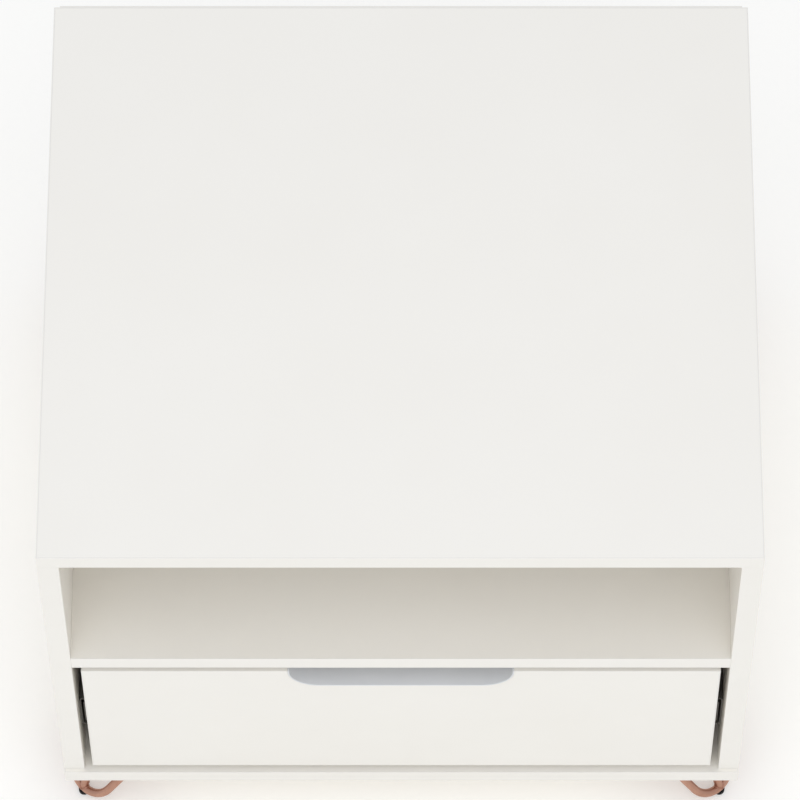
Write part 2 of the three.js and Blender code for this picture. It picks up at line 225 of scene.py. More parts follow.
def joined(meshes):
    """Several meshes as one."""
    whole = bmesh.new()
    for part in meshes:
        held = bpy.data.meshes.new("held")
        part.to_mesh(held)
        part.free()
        whole.from_mesh(held)
        bpy.data.meshes.remove(held)
    return whole


def shell_object(mesh):
    """A temporary object that holds a mesh."""
    data = bpy.data.meshes.new("shell")
    mesh.to_mesh(data)
    mesh.free()
    shell = bpy.data.objects.new("shell", data)
    bpy.context.scene.collection.objects.link(shell)
    return shell


def boolean(mesh, tools, operation="DIFFERENCE"):
    """Cuts tools out of a mesh, or unites them with it."""
    target = shell_object(mesh)
    tool = shell_object(joined(tools))
    modifier = target.modifiers.new("boolean", "BOOLEAN")
    modifier.operation = operation
    modifier.solver = "EXACT"
    modifier.use_self = operation == "UNION"
    modifier.object = tool
    result = bmesh.new()
    result.from_object(target, bpy.context.evaluated_depsgraph_get())
    for shell in (target, tool):
        data = shell.data
        bpy.data.objects.remove(shell)
        bpy.data.meshes.remove(data)
    return result


def round_edges(mesh, radius, segments=3, sharper_than=40, chosen=None, finish=-1):
    """Rounds the sharp edges, or those of them that chosen(edge) picks."""
    sharp = [
        edge
        for edge in mesh.edges
        if len(edge.link_faces) == 2
        and edge.calc_face_angle() > math.radians(sharper_than)
        and (chosen is None or chosen(edge))
    ]
    bmesh.ops.bevel(
        mesh,
        geom=sharp,
        offset=radius,
        offset_type="OFFSET",
        segments=segments,
        profile=0.5,
        affect="EDGES",
        clamp_overlap=True,
        material=finish,
    )
    return mesh


def moved(mesh, matrix):
    """The mesh moved by a matrix, with its faces turned out again if that mirrors it."""
    bmesh.ops.transform(mesh, matrix=matrix, verts=mesh.verts)
    if matrix.determinant() < 0:
        bmesh.ops.reverse_faces(mesh, faces=mesh.faces)
    return mesh


def to_side(mirror):
    """From the left half of the cabinet to the left or right."""
    return Matrix.Diagonal((mirror, 1, 1, 1))


def to_corner(corner):
    """From a corner's own frame to its place."""
    x, y, mirror_x, mirror_y = CORNERS[corner]
    return Matrix.Translation((x, y, 0)) @ Matrix.Diagonal((mirror_x, mirror_y, 1, 1))


def piece(name, mesh, finishes, body, stands_for=(), smooth=40):
    """Makes a mesh in millimetres into a piece that rides on a body."""
    bmesh.ops.scale(mesh, vec=(MM,) * 3, verts=mesh.verts)
    data = bpy.data.meshes.new(name)
    mesh.to_mesh(data)
    mesh.free()
    for finish in finishes:
        data.materials.append(finish)
    data.polygons.foreach_set("use_smooth", [True] * len(data.polygons))
    data.set_sharp_from_angle(angle=math.radians(smooth))
    made = bpy.data.objects.new(name, data)
    bpy.context.scene.collection.objects.link(made)
    weighted = made.modifiers.new("flat_faces", "WEIGHTED_NORMAL")
    weighted.keep_sharp = True
    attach(made, body)
    if stands_for:
        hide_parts(*stands_for)
    return made


# ---------------------------------------------------------------- material tools


def add_node(tree, kind, inputs, **settings):
    """A shader node. Each input is a number, a colour or another node's socket."""
    made = tree.nodes.new("ShaderNode" + kind)
    for name, value in settings.items():
        setattr(made, name, value)
    for name, value in inputs.items():
        if isinstance(value, bpy.types.NodeSocket):
            tree.links.new(value, made.inputs[name])
        else:
            made.inputs[name].default_value = value
    return made


def noise(tree, place, scale, detail=3, stretch=(1, 1, 1)):
    """A noise pattern's value, at a scale in features per metre."""
    mapped = add_node(tree, "Mapping", {"Vector": place, "Scale": stretch})
    made = add_node(
        tree,
        "TexNoise",
        {"Vector": mapped.outputs["Vector"], "Scale": scale, "Detail": detail, "Roughness": 0.55},
    )
    return made.outputs["Fac"]


def spread(tree, value, low, high, start=0.35, end=0.65):
    """A pattern's middle range spread from low to high."""
    made = add_node(
        tree,
        "MapRange",
        {"Value": value, "From Min": start, "From Max": end, "To Min": low, "To Max": high},
        clamp=True,
    )
    return made.outputs["Result"]


def mix(tree, factor, first, second):
    """A colour between two others."""
    made = add_node(tree, "Mix", {}, data_type="RGBA")
    for socket, value in ((0, factor), (6, first), (7, second)):
        if isinstance(value, bpy.types.NodeSocket):
            tree.links.new(value, made.inputs[socket])
        elif socket:
            made.inputs[socket].default_value = (*value, 1)
        else:
            made.inputs[socket].default_value = value
    return made.outputs[2]


def finish(
    name,
    colours,
    patch,
    grain,
    depth,
    rough,
    metallic=0.0,
    stretch=(1, 1, 1),
    marks=None,
    pebble=0.0,
    specular=0.5,
):
    """A procedural material.

    colours: the two that its patches run between, patch to the metre
    grain: scale of the surface's relief, depth deep in metres and stretched by stretch
    rough: lowest and highest roughness
    marks: (colour, scale, share of the surface) of scuffs, tarnish or wear
    pebble: scale of the embossed cells of a pressed board, or 0
    specular: strength of its gloss
    """
    made = bpy.data.materials.new(name)
    made.use_nodes = True
    tree = made.node_tree
    shader = tree.nodes["Principled BSDF"]
    place = add_node(tree, "TexCoord", {}).outputs["Object"]
    patches = spread(tree, noise(tree, place, patch), 0, 1)
    colour = mix(tree, patches, *colours)
    relief = noise(tree, place, grain, 4, stretch)
    tone = spread(tree, relief, 0.0, 0.35)
    colour = mix(tree, tone, colour, colours[0])
    roughness = spread(tree, noise(tree, place, patch * 6, 4, stretch), *rough)
    if marks:
        mark_colour, mark_scale, share = marks
        pattern = noise(tree, place, mark_scale, 6, stretch)
        mask = spread(tree, pattern, 0, 1, 0.78 - share, 0.84 - share * 0.6)
        colour = mix(tree, mask, colour, mark_colour)
        rougher = add_node(tree, "Math", {0: mask, 1: 0.12, 2: roughness}, operation="MULTIPLY_ADD")
        roughness = rougher.outputs["Value"]
    if pebble:
        cells = add_node(
            tree,
            "TexVoronoi",
            {"Vector": place, "Scale": pebble, "Smoothness": 0.7},
            feature="SMOOTH_F1",
        )
        raised = add_node(
            tree, "Math", {0: cells.outputs["Distance"], 1: 0.8, 2: relief}, operation="MULTIPLY_ADD"
        )
        relief = raised.outputs["Value"]
    bump = add_node(tree, "Bump", {"Height": relief, "Distance": depth, "Strength": 1.0})
    tree.links.new(colour, shader.inputs["Base Color"])
    tree.links.new(roughness, shader.inputs["Roughness"])
    tree.links.new(bump.outputs["Normal"], shader.inputs["Normal"])
    shader.inputs["Metallic"].default_value = metallic
    shader.inputs["Specular IOR Level"].default_value = specular
    return made


WHITE = finish(
    "white_melamine",
    colours=((0.922, 0.882, 0.804), (0.934, 0.896, 0.820)),
    patch=7,
    grain=700,
    depth=0.00002,
    rough=(0.40, 0.50),
    marks=((0.905, 0.862, 0.784), 26, 0.02),
    pebble=1100,
)
# Painted shade: the edge bands, which face the front, are a darker copy of the white melamine
# standing in for the shade on front-facing faces; the shelf and drawer caps use it too.
SHADED_WHITE_BAND = finish(
    "white_edge_band_painted_shade",
    colours=((0.876, 0.844, 0.778), (0.888, 0.857, 0.792)),
    patch=30,
    grain=900,
    depth=0.00001,
    rough=(0.34, 0.44),
)
# Painted shade: a darker copy of the white melamine for the drawer front, standing in for the shade
# on front-facing faces.
SHADED_WHITE_FRONT = finish(
    "white_melamine_front_painted_shade",
    colours=((0.878, 0.846, 0.780), (0.890, 0.860, 0.795)),
    patch=9,
    grain=700,
    depth=0.00002,
    rough=(0.38, 0.48),
    marks=((0.862, 0.828, 0.760), 30, 0.02),
    pebble=1100,
)
WHITE_EDGE = finish(
    "white_worn_edge",
    colours=((0.868, 0.834, 0.768), (0.892, 0.862, 0.798)),
    patch=140,
    grain=2200,
    depth=0.00003,
    rough=(0.42, 0.60),
    marks=((0.820, 0.780, 0.708), 320, 0.08),
)
HARDBOARD = finish(
    "white_hardboard",
    colours=((0.905, 0.872, 0.806), (0.925, 0.893, 0.830)),
    patch=11,
    grain=420,
    depth=0.00004,
    rough=(0.50, 0.62),
    pebble=520,
)
DRAWER_BOARD = finish(
    "drawer_melamine",
    colours=((0.850, 0.822, 0.768), (0.872, 0.846, 0.792)),
    patch=9,
    grain=600,
    depth=0.00003,
    rough=(0.45, 0.56),
    pebble=900,
)
GREY_BAND = finish(
    "grey_edge_band",
    colours=((0.772, 0.776, 0.778), (0.792, 0.796, 0.799)),
    patch=40,
    grain=800,
    depth=0.00001,
    rough=(0.36, 0.46),
    marks=((0.700, 0.715, 0.730), 180, 0.05),
)
COPPER = finish(
    "rose_copper_plating",
    colours=((0.465, 0.252, 0.178), (0.540, 0.306, 0.222)),
    patch=70,
    grain=900,
    depth=0.00002,
    rough=(0.30, 0.44),
    metallic=0.9,
    stretch=(1, 1, 0.25),
    marks=((0.350, 0.172, 0.120), 210, 0.05),
)
COPPER_EDGE = finish(
    "rose_copper_worn_edge",
    colours=((0.505, 0.285, 0.208), (0.600, 0.370, 0.280)),
    patch=160,
    grain=1400,
    depth=0.00002,
    rough=(0.24, 0.38),
    metallic=0.9,
    marks=((0.560, 0.520, 0.490), 420, 0.14),
)
COPPER_WELD = finish(
    "rose_copper_weld",
    colours=((0.410, 0.205, 0.142), (0.540, 0.295, 0.215)),
    patch=260,
    grain=1500,
    depth=0.00006,
    rough=(0.36, 0.55),
    metallic=0.9,
    marks=((0.240, 0.100, 0.066), 520, 0.10),
)
ZINC = finish(
    "zinc_plated_screw",
    colours=((0.560, 0.575, 0.600), (0.690, 0.700, 0.715)),
    patch=240,
    grain=1600,
    depth=0.00002,
    rough=(0.24, 0.40),
    metallic=1.0,
    marks=((0.430, 0.435, 0.440), 600, 0.07),
)
CAM_ZINC = finish(
    "die_cast_zinc",
    colours=((0.470, 0.475, 0.485), (0.590, 0.595, 0.600)),
    patch=220,
    grain=1300,
    depth=0.00005,
    rough=(0.40, 0.58),
    metallic=1.0,
    marks=((0.340, 0.342, 0.346), 500, 0.09),
)
# Painted shade: the slides and ball cages take the dark warm brown-grey of the shadow deep in the
# gaps beside the drawer.
SHADE_TONED_SLIDE_STEEL = finish(
    "slide_steel_painted_gap_shade",
    colours=((0.150, 0.142, 0.126), (0.185, 0.176, 0.156)),
    patch=45,
    grain=700,
    depth=0.00002,
    rough=(0.38, 0.52),
    metallic=0.0,
    stretch=(1, 0.04, 1),
    marks=((0.170, 0.165, 0.155), 160, 0.05),
    specular=0.35,
)
BALL_STEEL = finish(
    "ball_steel",
    colours=((0.640, 0.645, 0.655), (0.720, 0.725, 0.735)),
    patch=300,
    grain=1800,
    depth=0.00001,
    rough=(0.12, 0.22),
    metallic=1.0,
)
BLACK = finish(
    "black_nylon",
    colours=((0.006, 0.0058, 0.0055), (0.011, 0.0105, 0.010)),
    patch=220,
    grain=1500,
    depth=0.00005,
    rough=(0.60, 0.78),
    marks=((0.026, 0.025, 0.024), 420, 0.05),
    specular=0.12,
)


# ---------------------------------------------------------------- boards


def on_plane(vertex, axis, value):
    return abs(vertex.co[axis] - value) < 0.01


def board(node, name, finish_used, body, banded=(), rounding=BOARD_ROUND):
    """A CAD board with its sharp edges eased and a band's room left at each banded edge."""
    low, high = box_mm(node)
    mesh = from_node(node)
    for axis, end in banded:
        face = high[axis] if end == HIGH else low[axis]
        for vertex in mesh.verts:
            if on_plane(vertex, axis, face):
                vertex.co[axis] -= end * (BAND + SEAM)
    round_edges(mesh, rounding, 2, finish=1)
    return piece(name, mesh, (finish_used, WHITE_EDGE), body, [node])


def band(name, low, high, axis, end, body, slot="white_board"):
    """One strip of edge band, whose own box is low to high, facing along axis."""
    mesh = block(low, high)
    face = (high if end == HIGH else low)[axis]
    round_edges(
        mesh,
        BAND_ROUND,
        3,
        chosen=lambda edge: all(on_plane(vertex, axis, face) for vertex in edge.verts),
        finish=1,
    )
    # Painted shade: every band takes the darker copy of the white.
    return piece(name, mesh, (SHADED_WHITE_BAND, WHITE_EDGE), body)


def strip_box(low, high, axis, end, banded):
    """The box of the band at one edge of a board. Bands along x stop at those along y."""
    low, high = Vector(low), Vector(high)
    if end == HIGH:
        low[axis] = high[axis] - BAND
    else:
        high[axis] = low[axis] + BAND
    if axis == X:
        if (Y, LOW) in banded:
            low.y += BAND
        if (Y, HIGH) in banded:
            high.y -= BAND
    return low, high


BAND_NAMES = {(X, LOW): "left", (X, HIGH): "right", (Y, LOW): "front", (Y, HIGH): "rear"}


def banded_board(node, name, banded, body="carcass"):
    """A white board with its edge bands."""
    board(node, name, WHITE, body, banded)
    low, high = box_mm(node)
    for axis, end in banded:
        strip = strip_box(low, high, axis, end, banded)
        band(f"{name}_{BAND_NAMES[axis, end]}_band", *strip, axis, end, body)


def make_boards():
    """The five white boards of the carcass, each with bands on the edges that show."""
    all_round = ((X, LOW), (X, HIGH), (Y, LOW), (Y, HIGH))
    banded_board("top_panel", "top_board", all_round)
    banded_board("bottom_panel", "bottom_board", all_round)
    banded_board("left_side_panel", "left_side_board", ((Y, LOW), (Y, HIGH)))
    banded_board("right_side_panel", "right_side_board", ((Y, LOW), (Y, HIGH)))
    banded_board("shelf", "shelf_board", ((Y, LOW),))


NAIL_PROUD = 0.2
NAIL_HEIGHTS = (90, 160, 230, 300, 370)
NAIL_COLUMNS = (-165, -55, 55, 165)
HALF_BOARD = 7.5
NAIL = ((0, 0.2), (1.1, 0.17), (1.9, 0.08), (2.1, 0), (0.6, 0), (0.6, -6), (0, -7))


def make_back():
    """The thin back panel, nailed to the boards' rear edges with flat-headed nails."""
    low, high = box_mm("back_panel")
    mesh = from_node("back_panel")
    for vertex in mesh.verts:
        if on_plane(vertex, Y, high.y):
            vertex.co.y -= NAIL_PROUD
    round_edges(mesh, 0.25, 2, finish=1)
    piece("back_board", mesh, (HARDBOARD, WHITE_EDGE), "carcass", ["back_panel"])
    nails = []
    side_x = high.x - 4
    for end in (LOW, HIGH):
        nails += [(end * side_x, z) for z in NAIL_HEIGHTS]
    for z in (SHELF_LOW.z + HALF_BOARD, low.z + 4, high.z - 5):
        nails += [(x, z) for x in NAIL_COLUMNS]
    for i, (x, z) in enumerate(nails):
        turn = Matrix.Rotation(-math.pi / 2, 4, "X")
        nail = moved(turned(NAIL, 20), Matrix.Translation((x, high.y - NAIL_PROUD, z)) @ turn)
        piece(f"back_nail_{i + 1}", nail, (ZINC,), "carcass")


# ---------------------------------------------------------------- screws and cams


def cross_cutter(width, reach, top, depth):
    """A tapered cross that presses a recess downwards from a height."""
    arms = []
    for turn in (0, math.pi / 2):
        bar = block((-reach, -width / 2, top - depth), (reach, width / 2, top + 1))
        for vertex in bar.verts:
            if vertex.co.z < top:
                vertex.co.x *= 0.45
                vertex.co.y *= 0.7
        arms.append(moved(bar, Matrix.Rotation(turn, 4, "Z")))
    first, second = arms
    return boolean(first, [second], "UNION")


def screw(profile, recess, sides=32):
    """A turned screw whose head faces up at its last height, with a cross recess."""
    return boolean(turned(profile, sides), [cross_cutter(*recess)])


PLATE_SCREW = (
    (0, -13.5), (1.9, -11), (1.9, 0), (3.7, 0), (3.9, 0.2), (3.9, 0.75),
    (3.7, 1.25), (3.2, 1.7), (2.4, 2.05), (1.3, 2.25), (0, 2.3),
)
FLUSH_SCREW = (
    (0, -50), (2.6, -47), (2.6, -13), (3.4, -12), (3.4, -3.5), (4.8, -1),
    (4.8, -0.15), (4.65, 0), (0, 0),
)
SLIDE_SCREW = ((0, -9), (1.5, -7), (1.5, -1.0), (2.9, -0.1), (3.1, 0.0), (2.2, 0.22), (0, 0.28))
LOW_SCREW = ((0, -9), (1.5, -7), (1.5, 0), (3.2, 0), (3.3, 0.2), (2.9, 0.6), (1.6, 0.78), (0, 0.82))

# Cross recesses: width, reach, the head's top and depth
PLATE_RECESS = (1.0, 2.3, 2.3, 1.5)
FLUSH_RECESS = (1.1, 2.4, 0, 2.2)
SLIDE_RECESS = (0.8, 1.7, 0.28, 1.0)
LOW_RECESS = (0.8, 1.7, 0.82, 0.6)
CAM_RECESS = (1.5, 4.2, 12.1, 2.4)


def facing_down(x, y, z):
    """Moves a screw so that its head is below a surface at that point."""
    return Matrix.Translation((x, y, z)) @ Matrix.Rotation(math.pi, 4, "X")


def make_bottom_screws():
    """The four long screws up through the bottom panel into the sides, with flush heads."""
    for corner in CORNERS:
        node = f"bottom_screw_{corner}"
        low, high = box_mm(node)
        middle = (low + high) / 2
        mesh = screw(FLUSH_SCREW, FLUSH_RECESS)
        moved(mesh, facing_down(middle.x, middle.y, low.z))
        piece(f"bottom_fixing_{corner}", mesh, (ZINC,), "carcass", [node])


CAM_RADIUS = 7.5
CAM_DEPTH = 12.5
CAM_PROFILE = (
    (0, 0), (7.4, 0), (7.5, 0.1), (7.5, 12.0),
    (7.2, 12.4), (6.4, 12.4), (6.2, 12.1), (0, 12.1),
)


def make_cams():
    """The cam in each side's inner face and the bolt in the top panel that it grips."""
    for corner in CORNERS:
        side = corner.split("_")[1]
        node = f"cam_lock_{corner}"
        low, high = box_mm(node)
        y = (low.y + high.y) / 2
        z = low.z + CAM_RADIUS
        cam = boolean(turned(CAM_PROFILE, 40), [cross_cutter(*CAM_RECESS)])
        turn = Matrix.Rotation(math.pi / 2, 4, "Y")
        moved(cam, Matrix.Translation((-INNER_X - CAM_DEPTH, y, z)) @ turn)
        bolt = turned(((0, z), (3, z), (3, high.z - 0.6), (2.4, high.z), (0, high.z)), 24)
        moved(bolt, Matrix.Translation((CARCASS_LOW.x + HALF_BOARD, y, 0)))
        mesh = moved(boolean(cam, [bolt], "UNION"), to_side(SIDES[side]))
        piece(f"cam_and_bolt_{corner}", mesh, (CAM_ZINC,), "carcass", [node])


CAP_PROFILE = ((0, 0), (9.5, 0), (9.4, 0.5), (8.8, 0.95), (7.0, 1.15), (0, 1.2))
SHELF_CAP_Y = 170
SHELF_CAP_INSET = 34


def make_shelf_caps():
    """White plastic covers over the shelf's four fittings, under the shelf."""
    for corner in CORNERS:
        end, side = corner.split("_")
        y = -SHELF_CAP_Y if end == "front" else SHELF_CAP_Y
        x = -SIDES[side] * (INNER_X - SHELF_CAP_INSET)
        mesh = moved(turned(CAP_PROFILE, 40), facing_down(x, y, SHELF_LOW.z))
        piece(f"shelf_fitting_cap_{corner}", mesh, (SHADED_WHITE_BAND,), "carcass")


# ---------------------------------------------------------------- drawer


def cutout_arc(middle_x, middle_z, radius, start, end):
    """Points of one of the cut-out's corners."""
    points = []
    for i in range(ARC_STEPS + 1):
        angle = start + (end - start) * i / ARC_STEPS
        points.append((middle_x + radius * math.cos(angle), middle_z + radius * math.sin(angle)))
    return points


def cutout(top, outside):
    """The finger cut-out's outline from its right end to its left, at a distance outside it."""
    high = box_mm("handle_edge_band")[1]
    half = high.x - HANDLE_BAND - CUTOUT_RADIUS
    turn_z = top - CUTOUT_DEPTH + CUTOUT_RADIUS
    radius = CUTOUT_RADIUS + outside
    quarter = math.pi / 2
    right = cutout_arc(half, turn_z, radius, 4 * quarter, 3 * quarter)
    left = cutout_arc(-half, turn_z, radius, 3 * quarter, 2 * quarter)
    return [(half + radius, top), *right, *left, (-half - radius, top)]


GROOVE_PLAY = 0.15
REAR_SCREW_HEIGHTS = (102, 170)
FRONT_CAP_HEIGHTS = (100, 175)
FRONT_CAP_SETBACK = 30


def make_drawer_front():
    """The drawer front, its white bands, and the grey band round the finger cut-out's rim."""
    low, high = box_mm("drawer_front")
    inset = BAND + SEAM
    outer = HANDLE_BAND + HANDLE_SEAM
    core_top = high.z - inset
    reach = high.x - inset
    rim = [point for point in cutout(high.z, outer) if point[1] < core_top - 0.01]
    edge_x = rim[0][0]
    outline = [
        (-reach, low.z + inset),
        (reach, low.z + inset),
        (reach, core_top),
        (edge_x, core_top),
        *rim,
        (-edge_x, core_top),
        (-reach, core_top),
    ]
    front = prism(outline, low.y, high.y)
    bottom_low, bottom_high = box_mm("drawer_bottom")
    groove = block(
        (bottom_low.x - GROOVE_PLAY, bottom_low.y - GROOVE_PLAY, bottom_low.z - GROOVE_PLAY),
        (bottom_high.x + GROOVE_PLAY, high.y + 1, bottom_high.z + GROOVE_PLAY),
    )
    front = boolean(front, [groove])
    round_edges(front, BOARD_ROUND, 2, finish=1)
    # Painted shade: the front board takes the darker copy of the white melamine.
    finishes = (SHADED_WHITE_FRONT, WHITE_EDGE)
    piece("drawer_front_board", front, finishes, "drawer", ["drawer_front"])
    left_box = (low, Vector((low.x + BAND, high.y, high.z)))
    right_box = (Vector((high.x - BAND, low.y, low.z)), high)
    inner = high.x - BAND
    bottom_box = (Vector((-inner, low.y, low.z)), Vector((inner, high.y, low.z + BAND)))
    band("drawer_front_left_band", *left_box, X, LOW, "drawer")
    band("drawer_front_right_band", *right_box, X, HIGH, "drawer")
    band("drawer_front_lower_band", *bottom_box, Z, LOW, "drawer")
    rim_x = box_mm("handle_edge_band")[1].x + HANDLE_SEAM
    for side, ends in (("left", (-inner, -rim_x)), ("right", (rim_x, inner))):
        top_low = Vector((ends[0], low.y, high.z - BAND))
        top_high = Vector((ends[1], high.y, high.z))
        band(f"drawer_front_upper_{side}_band", top_low, top_high, Z, HIGH, "drawer")
    ribbon = prism(cutout(high.z, HANDLE_BAND) + cutout(high.z, 0)[::-1], low.y, high.y)
    round_edges(ribbon, 0.3, 3)
    piece(
        "handle_rim_band", ribbon, (GREY_BAND,), "drawer", ["handle_edge_band"]
    )


def make_drawer_box():
    """The drawer's sides, back and bottom board, with the screws and fittings that hold them."""
    for node, name in (
        ("left_drawer_side", "drawer_left_board"),
        ("right_drawer_side", "drawer_right_board"),
        ("drawer_back", "drawer_back_board"),
        ("drawer_bottom", "drawer_bottom_board"),
    ):
        board(node, name, DRAWER_BOARD, "drawer", rounding=0.3)
    side_low, side_high = box_mm("left_drawer_side")
    screw_y = box_mm("drawer_back")[0].y + 6
    for side, mirror in SIDES.items():
        for i, z in enumerate(REAR_SCREW_HEIGHTS):
            mesh = screw(SLIDE_SCREW, SLIDE_RECESS, 24)
            turn = Matrix.Rotation(-math.pi / 2, 4, "Y")
            moved(mesh, Matrix.Translation((side_low.x, screw_y, z)) @ turn)
            moved(mesh, to_side(mirror))
            piece(f"drawer_{side}_rear_screw_{i + 1}", mesh, (ZINC,), "drawer")
        for i, z in enumerate(FRONT_CAP_HEIGHTS):
            cap = turned(CAP_PROFILE, 40)
            bmesh.ops.scale(cap, vec=(0.8, 0.8, 0.8), verts=cap.verts)
            turn = Matrix.Rotation(math.pi / 2, 4, "Y")
            moved(cap, Matrix.Translation((side_high.x, side_low.y + FRONT_CAP_SETBACK, z)) @ turn)
            moved(cap, to_side(mirror))
            piece(f"drawer_{side}_front_cap_{i + 1}", cap, (SHADED_WHITE_BAND,), "drawer")


# ---------------------------------------------------------------- ball slides


def rounded_path(points, radius, steps=6):
    """A polyline with each inner corner turned on an arc."""
    path = [Vector(points[0])]
    for before, corner, after in zip(points, points[1:], points[2:]):
        before, corner, after = Vector(before), Vector(corner), Vector(after)
        a = (before - corner).normalized()
        b = (after - corner).normalized()
        half = a.angle(b) / 2
        reach = min(radius, 0.45 * min((before - corner).length, (after - corner).length))
        start = corner + a * reach
        end = corner + b * reach
        centre = corner + (a + b).normalized() * (reach / math.cos(half))
        for i in range(steps + 1):
            mid = start.lerp(end, i / steps) - centre
            path.append(centre + mid.normalized() * (start - centre).length)
    path.append(Vector(points[-1]))
    return path


def folded(points, steel, radius):
    """The outline of sheet steel folded along a centre line."""
    path = rounded_path(points, radius)
    left, right = [], []
    for i, point in enumerate(path):
        before = path[max(i - 1, 0)]
        after = path[min(i + 1, len(path) - 1)]
        along = (after - before).normalized()
        normal = Vector((-along.y, along.x)) * steel / 2
        left.append(point + normal)
        right.append(point - normal)
    return left + right[::-1]


def channel(section, slide_z):
    """The outline of a rail or a cage in x and z, on the left side."""
    steel = section["steel"]
    step = math.copysign(steel / 2, section["reach"] - section["web"])
    web = section["web"] + step
    tip = section["reach"] - (step if section["lip"] else 0)
    top = section["height"] / 2 - steel / 2
    path = [(web, -top), (web, top)]
    path = [(tip, -top), *path, (tip, top)]
    if section["lip"]:
        lip_z = section["height"] / 2 - steel - section["lip"]
        path = [(tip, -lip_z), *path, (tip, lip_z)]
    outline = folded(path, steel, 1.5 * steel + 0.4)
    return [(-INNER_X + c, slide_z + z) for c, z in outline]


def punch(y, z, radius, length=0.0):
    """A tool across a rail's web: a round hole, or a slot that long."""
    outline = []
    for i in range(24):
        angle = 2 * math.pi * i / 24
        shift = math.copysign(length / 2, math.cos(angle)) if length else 0
        outline.append((y + radius * math.cos(angle) + shift, z + radius * math.sin(angle)))
    return prism(outline, -INNER_X - 3, -INNER_X + SLIDE_SPACE + 3, axis=X)


def rail_mesh(section, node, holes):
    """A folded rail with holes and slots in its web, on the left side."""
    low, high = box_mm(node)
    middle_z = (low.z + high.z) / 2
    mesh = prism(channel(section, middle_z), low.y, high.y)
    tools = [punch(low.y + y, middle_z, *size) for y, *size in holes]
    return boolean(mesh, tools)


RAIL_HOLES = {
    "cabinet_rail": [(24, 2.3), (60, 2.6, 7), (200, 2.3), (250, 2.6, 7), (372, 2.3)],
    "middle_rail": [(60, 3.2, 22), (150, 3.2, 22), (250, 3.2, 22), (340, 3.2, 22)],
    "drawer_rail": [(24, 2.2), (70, 2.4, 6), (190, 2.2), (300, 2.4, 6), (372, 2.2)],
}
RAIL_SECTIONS = {
    "cabinet_rail": CABINET_RAIL,
    "middle_rail": MIDDLE_RAIL,
    "drawer_rail": DRAWER_RAIL,
}
RAIL_SCREW_PLACES = (24, 200, 372)


def make_rails():
    """The three telescoping members of each slide."""
    for kind, section in RAIL_SECTIONS.items():
        for side, mirror in SIDES.items():
            node = f"{side}_{kind}"
            mesh = rail_mesh(section, f"left_{kind}", RAIL_HOLES[kind])
            moved(mesh, to_side(mirror))
            body = {"cabinet_rail": "carcass", "drawer_rail": "drawer"}.get(kind, f"{side}_middle")
            name = f"{side}_slide_{kind.split('_')[0]}_member"
            # Painted shade: each member is coloured as the gap's shadow.
            piece(name, mesh, (SHADE_TONED_SLIDE_STEEL,), body, [node])


def ball(radius, x, y, z):
    """A slide's ball."""
    mesh = bmesh.new()
    bmesh.ops.create_icosphere(mesh, subdivisions=3, radius=radius)
    return moved(mesh, Matrix.Translation((x, y, z)))


def make_cages():
    """The two ball cages of each slide, with the balls that they carry."""
    for kind, section, balls in (
        ("outer", OUTER_CAGE, OUTER_BALLS),
        ("inner", INNER_CAGE, INNER_BALLS),
    ):
        for side, mirror in SIDES.items():
            node = f"{side}_{kind}_ball_cage"
            low, high = box_mm(f"left_{kind}_ball_cage")
            middle = (low + high) / 2
            strip = prism(channel(section, middle.z), low.y, high.y)
            row = [i - (BALLS_PER_ROW - 1) / 2 for i in range(BALLS_PER_ROW)]
            x = -INNER_X + balls["across"]
            half_height = balls["height"] / 2
            places = [
                (x, middle.y + i * BALL_SPACING, middle.z + end * half_height)
                for end in (LOW, HIGH)
                for i in row
            ]
            pockets = [ball(balls["radius"] + 0.12, *place) for place in places]
            strip = moved(boolean(strip, pockets), to_side(mirror))
            body = f"{side}_{kind}_cage"
            # Painted shade: the cage strips are coloured as the gap's shadow.
            piece(f"{side}_{kind}_cage_strip", strip, (SHADE_TONED_SLIDE_STEEL,), body, [node])
            loose = [ball(balls["radius"], *place) for place in places]
            balls_mesh = moved(joined(loose), to_side(mirror))
            name = f"{side}_{kind}_cage_balls"
            piece(name, balls_mesh, (BALL_STEEL,), body, smooth=180)


def make_slide_screws():
    """Screws through the cabinet members into the sides and the drawer members into the drawer."""
    low, high = box_mm("left_cabinet_rail")
    middle_z = (low.z + high.z) / 2
    for side, mirror in SIDES.items():
        for i, along in enumerate(RAIL_SCREW_PLACES):
            into_side = screw(SLIDE_SCREW, SLIDE_RECESS, 24)
            turn = Matrix.Rotation(math.pi / 2, 4, "Y")
            moved(into_side, Matrix.Translation((-INNER_X + 1.15, low.y + along, middle_z)) @ turn)
            moved(into_side, to_side(mirror))
            name = f"{side}_cabinet_member_screw_{i + 1}"
            piece(name, into_side, (ZINC,), "carcass")
            into_drawer = screw(LOW_SCREW, LOW_RECESS, 24)
            turn = Matrix.Rotation(-math.pi / 2, 4, "Y")
            place = (-INNER_X + SLIDE_SPACE - 1.1, low.y + along, middle_z)
            moved(into_drawer, Matrix.Translation(place) @ turn)
            moved(into_drawer, to_side(mirror))
            name = f"{side}_drawer_member_screw_{i + 1}"
            piece(name, into_drawer, (ZINC,), "drawer")


def make_slide_stops():
    """A rubber bumper behind each slide, on the side panel."""
    low, high = box_mm("left_cabinet_rail")
    middle_z = (low.z + high.z) / 2
    for side, mirror in SIDES.items():
        bumper = block(
            (-INNER_X + 0.1, high.y + 0.6, middle_z - 9),
            (-INNER_X + 10.5, high.y + 5.5, middle_z + 9),
        )
        round_edges(bumper, 1.4, 4)
        moved(bumper, to_side(mirror))
        piece(f"{side}_slide_bumper", bumper, (BLACK,), "carcass")


# ---------------------------------------------------------------- feet


